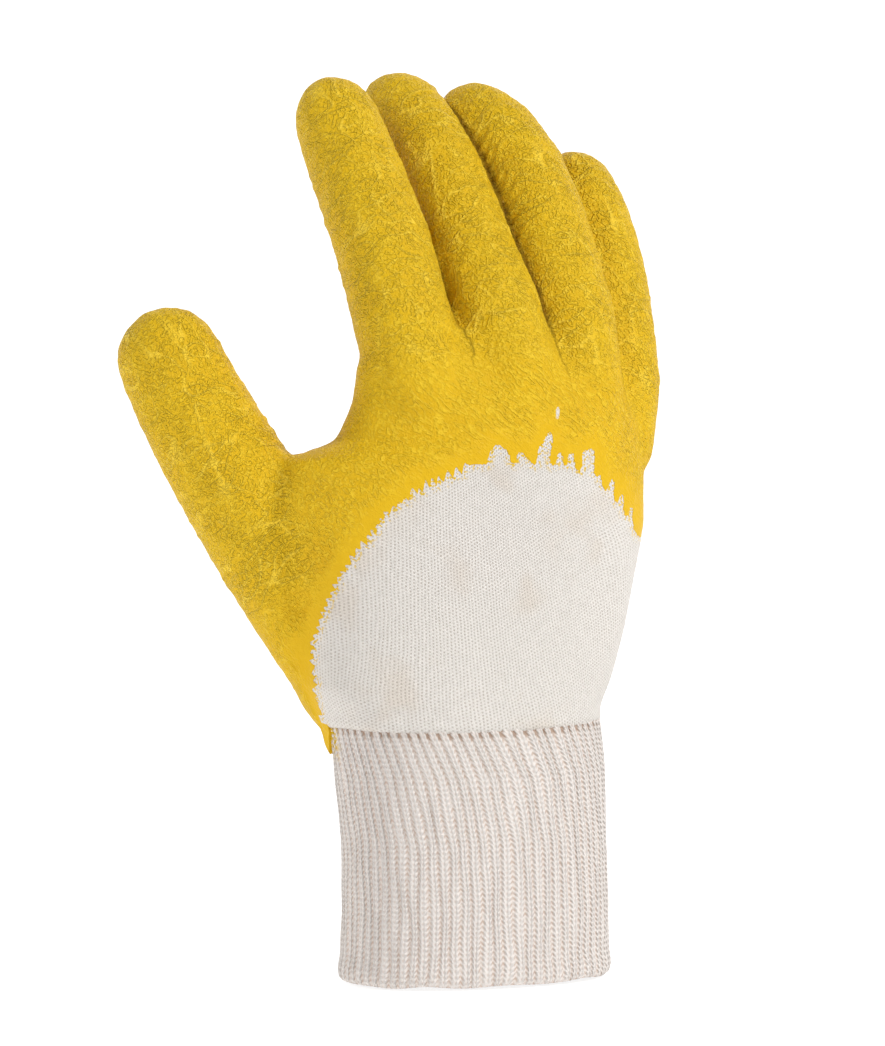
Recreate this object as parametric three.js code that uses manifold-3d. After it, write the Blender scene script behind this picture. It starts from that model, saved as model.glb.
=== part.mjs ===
// A right-hand work glove, shaped as it sits on a hand: a knitted cotton glove dipped in latex, with a
// bare jersey window on the back of the hand and a ribbed knit cuff. Millimetres and degrees.
// The origin is the centre of the cuff's mouth. +Z runs to the fingertips, -Y is the back of the hand,
// and the thumb is on -X.
import * as THREE from "three";
import { mergeVertices } from "three/addons/utils/BufferGeometryUtils.js";
import Module from "manifold-3d";

const wasm = await Module();
wasm.setup();

// Cuff
const CUFF_LENGTH = 73;
const CUFF_WIDTH = 81;
const CUFF_DEPTH = 51;
const CUFF_WALL = 2;
const CUFF_ROUNDNESS = 2.15;
const RIB_COUNT = 72;
const RIB_DEPTH = 0.6;
const HEM_HEIGHT = 0.7;
const HEM_ROUNDING = 1.1;

// Walls, layers and clearances
const COATED_WALL = 1.7;
const LATEX_LAYER = 0.4;
const LAP_WALL = 0.8;
const PIECE_GAP = 0.3;

// Hand
const PALM_LENGTH = 112;
const PALM_WIDTH = 93;
const PALM_DEPTH = 38;
const PALM_ROUNDNESS = 2.4;
const KNUCKLE_FALL = 4.7;
const KNUCKLE_FALL_POWER = 4;
const FINGER_LENGTH = 116;
const FINGER_WIDTH = 27;
const FINGER_DEPTH = 25;
const FINGER_ROUNDNESS = 2.1;
const THUMB_LENGTH = 127;
const THUMB_WIDTH = 29;
const THUMB_DEPTH = 26;

// Latex that laps over the cuff on the palm side, and the bare window's side borders
const LAP_LENGTH = 9;
const SEAM_EASE = 3;
const WINDOW_SIDE = 1;
const WINDOW_TURN = -25;

// Facets
const FINGER_SIDES = 16;
const PALM_SIDES = 44;

// Cuff sections: height as a share of CUFF_LENGTH, width and shift across as shares of CUFF_WIDTH,
// depth as a share of CUFF_DEPTH, and the drift of the ribs round the cuff in ribs.
const CUFF_SECTIONS = [
  { up: 0.025, width: 1.005, shift: 0.0, depth: 1.005, drift: 0 },
  { up: 0.12, width: 0.99, shift: 0.0, depth: 1.0, drift: 0 },
  { up: 0.3, width: 0.985, shift: 0.003, depth: 0.99, drift: 0 },
  { up: 0.55, width: 0.98, shift: -0.003, depth: 0.97, drift: 0 },
  { up: 0.8, width: 1.0, shift: -0.016, depth: 0.97, drift: -0.7 },
  { up: 1.0, width: 1.0, shift: -0.038, depth: 0.99, drift: -2 },
];

// Palm sections above the wrist: height as a share of PALM_LENGTH, the two edges as shares of
// PALM_WIDTH, the back and the palm face as shares of PALM_DEPTH, and how far each edge droops inward as
// a share of PALM_DEPTH.
const PALM_SECTIONS = [
  { up: 0.1, thumb: -0.53, little: 0.43, back: -0.63, palm: 0.68, thumbDroop: 0.05, littleDroop: 0 },
  { up: 0.22, thumb: -0.545, little: 0.483, back: -0.59, palm: 0.71, thumbDroop: 0.12, littleDroop: 0.03 },
  { up: 0.4, thumb: -0.605, little: 0.546, back: -0.55, palm: 0.63, thumbDroop: 0.25, littleDroop: 0.1 },
  { up: 0.545, thumb: -0.645, little: 0.598, back: -0.51, palm: 0.53, thumbDroop: 0.3, littleDroop: 0.18 },
  { up: 0.66, thumb: -0.595, little: 0.602, back: -0.48, palm: 0.47, thumbDroop: 0.26, littleDroop: 0.22 },
  { up: 0.705, thumb: -0.43, little: 0.602, back: -0.46, palm: 0.46, thumbDroop: 0.15, littleDroop: 0.25 },
  { up: 0.795, thumb: -0.385, little: 0.612, back: -0.4, palm: 0.46, thumbDroop: 0.05, littleDroop: 0.28 },
  { up: 0.9, thumb: -0.36, little: 0.597, back: -0.26, palm: 0.46, thumbDroop: 0, littleDroop: 0.32 },
  { up: 0.985, thumb: -0.3, little: 0.53, back: -0.08, palm: 0.42, thumbDroop: 0, littleDroop: 0.32 },
];

// Knuckles: place as shares of PALM_WIDTH, PALM_DEPTH and PALM_LENGTH, and each finger's length and girth
// as shares of the finger sizes.
const FINGERS = [
  { name: "index", across: -0.188, inward: -0.05, up: 0.8, length: 0.93, girth: 1.0 },
  { name: "middle", across: 0.116, inward: -0.1, up: 0.83, length: 1.03, girth: 1.0 },
  { name: "ring", across: 0.361, inward: 0.03, up: 0.78, length: 1.02, girth: 0.94 },
  { name: "little", across: 0.53, inward: 0.24, up: 0.7, length: 0.84, girth: 0.83 },
];

// Finger bones from knuckle to tip: share of the finger's length, lean aside and bend towards the palm.
const FINGER_BONES = {
  index: [
    { length: 0.47, lean: -4, bend: 23 },
    { length: 0.27, lean: -6, bend: 33 },
    { length: 0.26, lean: -5, bend: 34 },
  ],
  middle: [
    { length: 0.47, lean: -3, bend: 33 },
    { length: 0.28, lean: -4, bend: 39 },
    { length: 0.25, lean: -12, bend: 50 },
  ],
  ring: [
    { length: 0.46, lean: 0, bend: 22 },
    { length: 0.28, lean: -6, bend: 36 },
    { length: 0.26, lean: -26, bend: 54 },
  ],
  little: [
    { length: 0.46, lean: 7, bend: 17 },
    { length: 0.27, lean: 2, bend: 29 },
    { length: 0.27, lean: -3, bend: 42 },
  ],
};
// The fingers root this share of the way from their knuckles to a point over the wrist.
const FINGER_ROOT = { across: -0.02, inward: 0, up: 0.1, share: 0.45 };

// Finger girth along the centreline from its root in the palm to its tip.
const FINGER_GIRTHS = [
  { at: 0.0, girth: 0.7 },
  { at: 0.15, girth: 0.85 },
  { at: 0.28, girth: 1.0 },
  { at: 0.42, girth: 1.05 },
  { at: 0.54, girth: 1.03 },
  { at: 0.64, girth: 1.02 },
  { at: 0.75, girth: 0.99 },
  { at: 0.84, girth: 0.95 },
];
// Round tips: where they start along the centreline, their rings, how flat the last one is, and the
// girth that the fingers and the thumb have there.
const TIPS = { start: 0.89, rings: 4, flat: 0.08, finger: 0.92, thumb: 1.02 };

// Thumb: its root as shares of PALM_WIDTH, PALM_DEPTH and PALM_LENGTH, and its bones as shares of
// THUMB_LENGTH with their lean to the side and their bend towards the palm.
const THUMB_ROOT = { across: -0.333, inward: 0.21, up: 0.06 };
const THUMB_BONES = [
  { length: 0.453, lean: -27, bend: 14 },
  { length: 0.3, lean: -29, bend: 10 },
  { length: 0.24, lean: -24, bend: 8 },
];
const THUMB_GIRTHS = [
  { at: 0.0, girth: 0.95 },
  { at: 0.18, girth: 1.12 },
  { at: 0.36, girth: 1.2 },
  { at: 0.52, girth: 1.2 },
  { at: 0.66, girth: 1.14 },
  { at: 0.8, girth: 1.08 },
];

// The bare window's border as it shows from WINDOW_TURN degrees round from the back: across as a share
// of PALM_WIDTH, height above the seam as a share of PALM_LENGTH. It starts on the cuff by the thumb.
const WINDOW_BORDER = [
  { across: -0.43, up: -0.09 },
  { across: -0.47, up: 0.02 },
  { across: -0.5, up: 0.2 },
  { across: -0.47, up: 0.28 },
  { across: -0.418, up: 0.38 },
  { across: -0.373, up: 0.436 },
  { across: -0.268, up: 0.548 },
  { across: -0.117, up: 0.628 },
  { across: 0.063, up: 0.695 },
  { across: 0.214, up: 0.69 },
  { across: 0.349, up: 0.648 },
  { across: 0.433, up: 0.573 },
  { across: 0.475, up: 0.5 },
  { across: 0.8, up: 0.42 },
  { across: 0.8, up: -0.09 },
];

const radians = THREE.MathUtils.degToRad;
const ACROSS = new THREE.Vector3(1, 0, 0);
const INWARD = new THREE.Vector3(0, 1, 0);
const UP = new THREE.Vector3(0, 0, 1);

function solid(geometry) {
  const bare = geometry.clone();
  bare.deleteAttribute("normal");
  bare.deleteAttribute("uv");
  const merged = mergeVertices(bare, 1e-4);
  return new wasm.Manifold(
    new wasm.Mesh({
      numProp: 3,
      vertProperties: merged.attributes.position.array,
      triVerts: new Uint32Array(merged.index.array),
    }),
  );
}

function geometryOf(manifold) {
  const mesh = manifold.getMesh();
  const geometry = new THREE.BufferGeometry();
  geometry.setAttribute("position", new THREE.BufferAttribute(mesh.vertProperties, 3));
  geometry.setIndex(new THREE.BufferAttribute(mesh.triVerts, 1));
  const flat = geometry.toNonIndexed();
  flat.computeVertexNormals();
  return flat;
}

// Points of a superellipse round a centre, starting on its side axis and turning inward first.
function sectionRing({ centre, side, inward, halfWidth, halfDepth, roundness, sides, turn = 0 }) {
  const eased = (v) => Math.sign(v) * Math.abs(v) ** (2 / roundness);
  return Array.from({ length: sides }, (_, k) => {
    const angle = turn + (2 * Math.PI * k) / sides;
    return centre
      .clone()
      .addScaledVector(side, halfWidth * eased(Math.cos(angle)))
      .addScaledVector(inward, halfDepth * eased(Math.sin(angle)));
  });
}

// A closed solid through rings of equally many points.
function loft(rings) {
  const sides = rings[0].length;
  const middle = (ring) => ring.reduce((sum, p) => sum.add(p), new THREE.Vector3()).divideScalar(sides);
  const points = [...rings.flat(), middle(rings[0]), middle(rings.at(-1))];
  const firstCap = rings.length * sides;
  const lastRow = firstCap - sides;
  const faces = [];
  for (let k = 0; k < sides; k++) {
    const next = (k + 1) % sides;
    for (let row = 0; row < lastRow; row += sides) {
      faces.push(row + k, row + next, row + sides + next);
      faces.push(row + k, row + sides + next, row + sides + k);
    }
    faces.push(firstCap, next, k);
    faces.push(firstCap + 1, lastRow + k, lastRow + next);
  }
  const geometry = new THREE.BufferGeometry().setFromPoints(points);
  geometry.setIndex(faces);
  return solid(geometry);
}

function block(low, high) {
  const size = new THREE.Vector3().subVectors(high, low);
  const box = new THREE.BoxGeometry(size.x, size.y, size.z);
  box.translate((low.x + high.x) / 2, (low.y + high.y) / 2, (low.z + high.z) / 2);
  return solid(box);
}

// A round-ended tube along a curve. Its sections lie square to the curve. The inset thins it evenly.
function digit({ curve, girths, tipGirth, width, depth, inset }) {
  const end = 1 - inset / curve.getLength();
  const stations = girths.map((row) => ({ ...row, round: 1 }));
  for (let ring = 0; ring <= TIPS.rings; ring++) {
    const angle = (ring / TIPS.rings) * (1 - TIPS.flat) * (Math.PI / 2);
    const at = TIPS.start + (end - TIPS.start) * Math.sin(angle);
    stations.push({ at, girth: tipGirth, round: Math.cos(angle) });
  }
  return loft(
    stations.map(({ at, girth, round }) => {
      const along = curve.getTangentAt(at);
      const side = new THREE.Vector3(along.z, 0, -along.x).normalize();
      return sectionRing({
        centre: curve.getPointAt(at),
        side,
        inward: new THREE.Vector3().crossVectors(along, side),
        halfWidth: ((width * girth) / 2 - inset) * round,
        halfDepth: ((depth * girth) / 2 - inset) * round,
        roundness: FINGER_ROUNDNESS,
        sides: FINGER_SIDES,
      });
    }),
  );
}

// The direction of a bone that leans aside by one angle and bends towards the palm by another.
function boneDirection({ lean, bend }) {
  return new THREE.Vector3(
    Math.sin(radians(lean)) * Math.cos(radians(bend)),
    Math.sin(radians(bend)),
    Math.cos(radians(lean)) * Math.cos(radians(bend)),
  );
}

// A centreline from its first points through bones that each start where the last one ends.
function boneCurve(start, bones, length) {
  const points = [...start];
  for (const bone of bones) {
    points.push(points.at(-1).clone().addScaledVector(boneDirection(bone), bone.length * length));
  }
  return new THREE.CatmullRomCurve3(points, false, "centripetal");
}

const palmPoint = ({ across, inward, up }) =>
  new THREE.Vector3(across * PALM_WIDTH, inward * PALM_DEPTH, CUFF_LENGTH + up * PALM_LENGTH);

function finger({ length, girth, ...knuckle }, inset) {
  const joint = palmPoint(knuckle);
  const root = joint.clone().lerp(palmPoint(FINGER_ROOT), FINGER_ROOT.share);
  return digit({
    curve: boneCurve([root, joint], FINGER_BONES[knuckle.name], length * FINGER_LENGTH),
    girths: FINGER_GIRTHS,
    tipGirth: TIPS.finger,
    width: FINGER_WIDTH * girth,
    depth: FINGER_DEPTH * girth,
    inset,
  });
}

function thumb(inset) {
  return digit({
    curve: boneCurve([palmPoint(THUMB_ROOT)], THUMB_BONES, THUMB_LENGTH),
    girths: THUMB_GIRTHS,
    tipGirth: TIPS.thumb,
    width: THUMB_WIDTH,
    depth: THUMB_DEPTH,
    inset,
  });
}

// A level ring of the cuff's outline, grown by a margin.
function cuffRing(section, height, margin, sides, turn = 0) {
  return sectionRing({
    centre: new THREE.Vector3(section.shift * CUFF_WIDTH, 0, height),
    side: ACROSS,
    inward: INWARD,
    halfWidth: (section.width * CUFF_WIDTH) / 2 + margin,
    halfDepth: (section.depth * CUFF_DEPTH) / 2 + margin,
    roundness: CUFF_ROUNDNESS,
    sides,
    turn,
  });
}

// One section of the palm. Its edges droop inward as the square of their distance from its middle, and
// its little side falls away by a power of its height.
function palmRing({ up, thumb, little, back, palm, thumbDroop, littleDroop }, inset) {
  const centre = palmPoint({ across: (thumb + little) / 2, inward: (back + palm) / 2, up });
  const reach = ((little - thumb) * PALM_WIDTH) / 2;
  const ring = sectionRing({
    centre,
    side: ACROSS,
    inward: INWARD,
    halfWidth: reach - inset,
    halfDepth: ((palm - back) * PALM_DEPTH) / 2 - inset,
    roundness: PALM_ROUNDNESS,
    sides: PALM_SIDES,
  });
  for (const point of ring) {
    const out = (point.x - centre.x) / reach;
    point.y += (out < 0 ? thumbDroop : littleDroop) * PALM_DEPTH * out * out;
    point.z -= KNUCKLE_FALL * up ** KNUCKLE_FALL_POWER * out;
  }
  return ring;
}

// The whole hand's form from a level up, all its surfaces moved in by the inset.
function handForm(inset, bottom) {
  const wrist = CUFF_SECTIONS.at(-1);
  const rings = [
    { up: bottom, margin: PIECE_GAP + LAP_WALL },
    { up: CUFF_LENGTH, margin: PIECE_GAP + LAP_WALL },
    { up: CUFF_LENGTH + SEAM_EASE, margin: LATEX_LAYER },
  ].map(({ up, margin }) => cuffRing(wrist, up, margin - inset, PALM_SIDES));
  const palm = loft([...rings, ...PALM_SECTIONS.map((row) => palmRing(row, inset))]);
  return FINGERS.reduce((form, row) => form.add(finger(row, inset)), palm.add(thumb(inset)));
}

// The cuff's levels with how far each is eased in, from below its hem where it overruns to its top.
function cuffLevels(overrun) {
  const lowest = CUFF_SECTIONS[0];
  const hem = [
    { up: 0, ease: HEM_ROUNDING, section: lowest },
    { up: HEM_HEIGHT, ease: HEM_ROUNDING / 4, section: lowest },
  ];
  const walls = CUFF_SECTIONS.map((section) => ({ up: section.up * CUFF_LENGTH, ease: 0, section }));
  if (overrun === 0) {
    return [...hem, ...walls];
  }
  const past = (level, up) => ({ ...level, up });
  return [past(walls[0], -overrun), ...walls, past(walls.at(-1), CUFF_LENGTH + overrun)];
}

// The cuff's form with its ribs on every other column.
function ribbedCuff() {
  const pitch = (2 * Math.PI) / RIB_COUNT;
  return loft(
    cuffLevels(0).map(({ up, ease, section }) => {
      const turn = section.drift * pitch;
      const crest = cuffRing(section, up, -ease, 2 * RIB_COUNT, turn);
      const valley = cuffRing(section, up, -ease - RIB_DEPTH, 2 * RIB_COUNT, turn);
      return crest.map((point, k) => (k % 2 === 0 ? point : valley[k]));
    }),
  );
}

// The cuff's form without ribs or hem, grown by a margin and reaching past both its ends.
function smoothCuff(margin) {
  return loft(cuffLevels(PIECE_GAP).map(({ up, section }) => cuffRing(section, up, margin, RIB_COUNT)));
}

// The window's border moved in by a margin, each corner along the mean of its two sides' normals.
function windowOutline(margin) {
  const corners = WINDOW_BORDER.map(
    ({ across, up }) => new THREE.Vector2(across * PALM_WIDTH, CUFF_LENGTH + up * PALM_LENGTH),
  );
  return corners.map((corner, i) => {
    const before = corner.clone().sub(corners.at(i - 1)).normalize();
    const after = corners[(i + 1) % corners.length].clone().sub(corner).normalize();
    const inward = new THREE.Vector2(before.y + after.y, -before.x - after.x);
    return corner.clone().addScaledVector(inward, (2 * margin) / inward.lengthSq());
  });
}

// The bare window as a prism seen from WINDOW_TURN degrees round, cut off at both sides of the hand.
function bareWindow(margin) {
  const outline = new THREE.Shape(windowOutline(margin));
  const prism = new THREE.ExtrudeGeometry(outline, { depth: 2 * PALM_WIDTH, bevelEnabled: false });
  const turn = radians(WINDOW_TURN);
  const across = new THREE.Vector3(Math.cos(turn), Math.sin(turn), 0);
  const outward = new THREE.Vector3().crossVectors(across, UP);
  prism.translate(0, 0, -PALM_WIDTH / 2);
  prism.applyMatrix4(new THREE.Matrix4().makeBasis(across, UP, outward));
  const low = new THREE.Vector3(-PALM_WIDTH, -2 * PALM_WIDTH, 0);
  const high = new THREE.Vector3(PALM_WIDTH, WINDOW_SIDE - margin, CUFF_LENGTH + PALM_LENGTH);
  return solid(prism).intersect(block(low, high));
}

// Everything above the seam.
const aboveSeam = block(
  new THREE.Vector3(-PALM_WIDTH, -PALM_WIDTH, CUFF_LENGTH + PIECE_GAP),
  new THREE.Vector3(PALM_WIDTH, PALM_WIDTH, CUFF_LENGTH + PALM_LENGTH),
);

const hollow = handForm(COATED_WALL, CUFF_LENGTH - 2 * LAP_LENGTH);
const coating = handForm(0, CUFF_LENGTH - LAP_LENGTH)
  .subtract(hollow)
  .subtract(smoothCuff(PIECE_GAP))
  .subtract(bareWindow(0));
const jersey = handForm(LATEX_LAYER, CUFF_LENGTH - LAP_LENGTH)
  .subtract(hollow)
  .intersect(bareWindow(PIECE_GAP))
  .intersect(aboveSeam);
const cuff = ribbedCuff().subtract(smoothCuff(-CUFF_WALL));

const PIECES = [
  { name: "latex_coating", form: coating, color: 0xddb52c, roughness: 0.55 },
  { name: "jersey_back", form: jersey, color: 0xece8e2, roughness: 0.95 },
  { name: "rib_cuff", form: cuff, color: 0xe8e4de, roughness: 0.95 },
];

const group = new THREE.Group();
for (const { name, form, color, roughness } of PIECES) {
  const material = new THREE.MeshStandardMaterial({ color, roughness, metalness: 0 });
  const mesh = new THREE.Mesh(geometryOf(form), material);
  mesh.name = name;
  group.add(mesh);
}

export default group;
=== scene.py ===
"""A right-hand work glove: knitted cotton dipped in latex, with a bare jersey back and a ribbed cuff."""
import contextlib
import math
import random

import bmesh
import bpy
import numpy as np
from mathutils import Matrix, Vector, noise
from mathutils.bvhtree import BVHTree


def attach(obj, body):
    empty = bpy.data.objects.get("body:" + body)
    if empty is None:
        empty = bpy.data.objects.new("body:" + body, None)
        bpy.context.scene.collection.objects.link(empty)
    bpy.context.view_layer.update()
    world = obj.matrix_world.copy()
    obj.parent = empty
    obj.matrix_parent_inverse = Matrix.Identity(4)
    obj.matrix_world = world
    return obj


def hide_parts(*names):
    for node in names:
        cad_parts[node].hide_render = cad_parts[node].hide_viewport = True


bl_info = {
    "name": "Latex coated glove",
    "version": (1, 0, 0),
    "blender": (4, 5, 0),
    "location": "View3D > Sidebar > Glove",
    "description": "Dresses the packed glove with its latex, jersey and rib knit",
    "category": "Object",
}

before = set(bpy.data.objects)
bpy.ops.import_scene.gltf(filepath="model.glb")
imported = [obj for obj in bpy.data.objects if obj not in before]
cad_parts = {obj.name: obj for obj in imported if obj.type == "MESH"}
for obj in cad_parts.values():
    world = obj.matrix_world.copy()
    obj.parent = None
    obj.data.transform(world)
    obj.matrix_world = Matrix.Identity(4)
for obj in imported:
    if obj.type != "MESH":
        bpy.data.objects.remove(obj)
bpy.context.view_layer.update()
MM = 0.001

# The seam between jersey and cuff in millimetres: its height, its dip on the back and half its width.
SEAM_HEIGHT = 73.0
SEAM_DIP = 1.6
SEAM_HALF = 40.0
# The lap of latex over the cuff: its edge on the palm side, and how far it climbs to the window's foot.
LAP_EDGE = 64.2
LAP_CLIMB = 8.5
# The bare window: how far it is turned to the thumb, where it ends on the hand's sides, and how much
# further it reaches on the thumb's side and on the far side.
WINDOW_TURN = math.radians(25)
WINDOW_SIDE = 1.0
SIDE_EASE = 2.6
FAR_EASE = 5.0
WINDOW_ACROSS = np.array([math.cos(WINDOW_TURN), -math.sin(WINDOW_TURN), 0.0])
WINDOW_DEEP = np.array([math.sin(WINDOW_TURN), math.cos(WINDOW_TURN), 0.0])

# The bare window's border as it shows from the back, turned towards the thumb: across and height.
BORDER_LEFT = (
    (-40.0, 62.0),
    (-43.2, 72.5),
    (-45.0, 80.0),
    (-45.8, 90.0),
    (-46.0, 97.0),
    (-43.6, 103.5),
    (-41.0, 109.5),
    (-38.6, 114.5),
    (-34.4, 121.0),
    (-28.8, 128.0),
    (-24.6, 133.6),
    (-17.6, 139.4),
    (-10.6, 142.8),
    (-2.2, 146.4),
)
# Where the border is torn into fingers: across and height of their tips and of the dips between them.
BORDER_TEETH = (
    (1.6, 147.0), (3.4, 147.4), (3.9, 149.6), (4.6, 151.4), (5.8, 152.5), (7.2, 152.4), (8.2, 151.4),
    (9.2, 151.0), (9.8, 149.4), (9.9, 147.6), (10.8, 147.2), (11.6, 147.5), (11.9, 149.6), (12.6, 150.4),
    (13.6, 150.2), (14.2, 148.8), (15.2, 149.0), (15.8, 147.4), (16.6, 146.8), (17.5, 147.2), (17.6, 150.0),
    (18.4, 152.2), (19.4, 153.0), (19.9, 154.6), (20.6, 156.0), (21.5, 156.1), (22.0, 155.0), (22.0, 152.6),
    (21.4, 150.4), (21.3, 147.4), (22.2, 146.4), (22.9, 147.0), (23.2, 149.0), (24.0, 150.2), (24.9, 149.8),
    (25.1, 147.6), (25.3, 146.4), (26.2, 146.6), (26.4, 149.0), (27.1, 150.2), (28.0, 149.8), (28.3, 147.6),
    (28.8, 145.2), (30.0, 144.8), (30.6, 146.4), (30.4, 149.4), (31.2, 150.9), (32.2, 150.6), (33.0, 151.2),
    (34.0, 150.9), (34.4, 149.4), (34.2, 146.6), (34.0, 144.2), (34.8, 143.0), (36.0, 143.6), (36.4, 141.2),
    (36.9, 139.6), (38.0, 139.6), (38.6, 141.6), (39.5, 142.4), (40.2, 141.4), (39.9, 138.4), (40.1, 136.2),
    (41.0, 135.6), (41.6, 137.4), (42.5, 138.0), (43.0, 136.8), (42.7, 134.0), (43.2, 131.8), (44.2, 131.8),
    (44.9, 134.0), (45.7, 133.8), (45.6, 131.0), (45.9, 128.0), (47.4, 125.6), (50.0, 124.4), (74.0, 119.0),
)

# How far the jersey goes on below the latex past those fingers.
JERSEY_TOP = (
    (1.0, 151.0), (5.0, 155.0), (12.0, 154.0), (18.0, 157.5), (22.5, 159.0), (26.0, 154.5),
    (32.0, 154.0), (36.5, 149.5), (41.0, 144.0), (46.0, 137.5), (50.0, 128.5), (74.0, 122.0),
)

# Each digit's centreline from its knuckle to its tip.
CENTRELINES = {
    "index": (
        (-17.5, -1.9, 162.6), (-18.8, 2.2, 176.3), (-19.6, 7.9, 189.5), (-20.3, 14.3, 202.4),
        (-21.3, 21.2, 215.0), (-22.6, 29.3, 226.9), (-23.8, 37.3, 238.8), (-24.5, 43.0, 247.1),
    ),
    "middle": (
        (10.8, -3.8, 166.0), (10.7, 3.7, 181.8), (9.8, 12.7, 194.6), (8.8, 22.3, 207.1),
        (8.0, 31.7, 219.7), (7.2, 41.4, 232.0), (5.8, 52.4, 243.2), (4.3, 60.9, 250.0),
    ),
    "ring": (
        (33.6, 1.1, 160.4), (35.3, 5.9, 176.4), (34.9, 11.8, 191.0), (33.9, 18.5, 205.1),
        (33.2, 26.2, 218.8), (32.0, 35.3, 231.4), (29.2, 46.5, 242.0), (26.3, 55.5, 247.6),
    ),
    "little": (
        (49.3, 9.1, 151.4), (51.8, 11.2, 160.0), (53.5, 14.9, 173.0), (54.1, 19.1, 186.0),
        (54.8, 24.3, 198.5), (55.3, 30.7, 210.5), (55.2, 38.6, 221.6), (54.8, 45.1, 228.6),
    ),
    "thumb": (
        (-31.0, 8.0, 79.7), (-36.5, 11.1, 90.6), (-44.7, 15.8, 107.0), (-53.1, 20.4, 123.3),
        (-58.9, 23.0, 134.2), (-65.0, 25.3, 145.0), (-71.1, 27.4, 155.8), (-76.8, 29.3, 167.0),
        (-81.8, 31.1, 178.4),
    ),
}
# Deep folds on a digit's flank: which flank (-1 thumb side), from and to along it, pitch and height.
FOLDS = (
    {"digit": "ring", "flank": -1, "start": 40, "stop": 96, "pitch": 4.6, "height": 0.8},
    {"digit": "little", "flank": -1, "start": 40, "stop": 92, "pitch": 4.4, "height": 0.55},
    {"digit": "thumb", "flank": 1, "start": 34, "stop": 92, "pitch": 5.6, "height": 0.45},
    {"digit": "middle", "flank": -1, "start": 10, "stop": 95, "pitch": 6.0, "height": 0.3},
    {"digit": "index", "flank": -1, "start": 30, "stop": 90, "pitch": 6.5, "height": 0.25},
)

# How the border is torn, in millimetres: steps along it, the pitch of its points, how far they stand
# out and in, and how much each step and each step of the torn fingers frays.
TEAR = {
    "step": 0.45, "pitch": (0.7, 1.7), "out": (0.5, 1.6), "in": (0.3, 1.2), "fray": 0.14,
    "finger_fray": 0.16,
}

# How the hand's form is made, in millimetres: what its copies swell by, its first voxels, and the
# filling of the wrist with its half width and shift aside at foot and top, half depth and heights.
COPY_SWELL = 0.3
FIRST_VOXEL = 1.2
FILLING = {"width": (38.8, 39.4), "shift": (-0.6, -3.1), "depth": 24.8, "height": (1.0, 79.0)}
# Fuller places on the hand's sides: above the seam on the thumb's side, and along the window's far side.
THUMB_SWELL = {"height": 1.4, "up": 77.0, "reach": 6.5}
FAR_SWELL = {"height": 1.8, "start": (74.0, 86.0), "stop": (122.0, 136.0)}
# Past this far from its middle, a place is on the hand's side.
SIDE_START = 30.0

# The grooves between the fingers are drawn in where two fingers touch: depth and reach, and the webs'
# heights from the index finger to the little finger.
GROOVE = {
    "depth": 1.7, "reach": 2.0, "across": (-5.0, 22.0, 44.0), "web": (184.0, 180.0, 171.0),
    "rise": 12.0,
}
# Soft dents in the latex beside the window: across and height, reach and depth.
DENTS = (
    {"across": -49.5, "up": 107.5, "reach": 4.5, "depth": 1.1},
    {"across": -50.0, "up": 92.0, "reach": 4.0, "depth": 0.8},
    {"across": -43.0, "up": 121.0, "reach": 5.0, "depth": 0.6},
)

# The smooth cuff in millimetres, and how round its outline is: 2 is an ellipse.
CUFF = {"length": 73.0, "width": 81.0, "depth": 51.0, "roundness": 2.15}
# Rows and columns of the knit: rows up the outside, rows up the inside, and columns to each rib.
CUFF_ROWS = 93
CUFF_INNER_ROWS = 12
RIB_COLUMNS = 8
# How far the cuff goes on behind the jersey and the hem's rounding, in millimetres.
CUFF_TUCK = 2.2
HEM_ROUND = 3.0

# Relief of the latex in millimetres: spacing of the arcs along and across a digit, their width and how
# they bend; sizes, seeds and heights of the lumps; lean, size, width and height of the streaks.
ARCS = {"along": 6.4, "across": 15.0, "width": 0.17, "bend": 0.03}
LUMPS = ((2.2, 0.0, 0.20), (5.5, 9.0, 0.13))
STREAKS = {"lean": (0.62, 0.78), "stretch": (0.16, 0.6, 1.0), "size": 2.6, "width": 0.22, "height": 0.13}
# How far the latex lies below the form, and how much thinner it gets at the window and on the lap.
COAT_DEPTH = 0.12
BORDER_THIN = 0.30
LAP_THIN = 0.9
# The cutter of the lap: its cells, width, depth and drop.
SKIRT = {"cells": 60, "width": 140.0, "depth": 110.0, "drop": 90.0}
# The lining: what it keeps of the form's faces, and how far below the form its points stay.
LINING_SHARE = 0.11
LINING_CLEAR = 1.0
# A speck that the latex missed: across and height.
MISSED = (18.8, 161.4)
# Widths and heights of a stitch of the jersey, the lining and the ribs.
JERSEY_STITCH = (1.06, 0.92)
LINING_STITCH = (0.95, 0.88)
RIB_COURSE = 1.5

# The cuff's sections: height as a share of its length, width and shift as shares of its width, depth as
# a share of its depth, and the ribs' drift round it in ribs.
CUFF_SECTIONS = np.array([
    (0.0, 1.005, 0.0, 1.005, 0.0),
    (0.12, 0.99, 0.0, 1.0, 0.0),
    (0.3, 0.985, 0.003, 0.99, 0.0),
    (0.55, 0.98, -0.003, 0.97, 0.0),
    (0.8, 1.0, -0.016, 0.97, -0.7),
    (1.0, 1.0, -0.038, 0.99, -2.0),
])

# Bare cotton's surface, the same on jersey and ribs.
COTTON_SURFACE = {
    "Roughness": 0.95, "Sheen_Weight": 0.1, "Sheen_Roughness": 0.6, "IOR": 1.4, "Specular_IOR_Level": 0.2,
}

# The stage: each light's place, size and power, and the camera's height of view in metres.
LIGHTS = (
    ((0.95, -1.1, 1.65), 0.6, 32.0),
    ((-0.9, -1.5, 0.7), 1.2, 1.5),
    ((0.9, 1.2, 0.9), 1.0, 2.0),
)
VIEW_HEIGHT = 0.2971


# Sizes and colours

RGB = {"size": 3, "min": 0, "max": 1}


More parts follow.
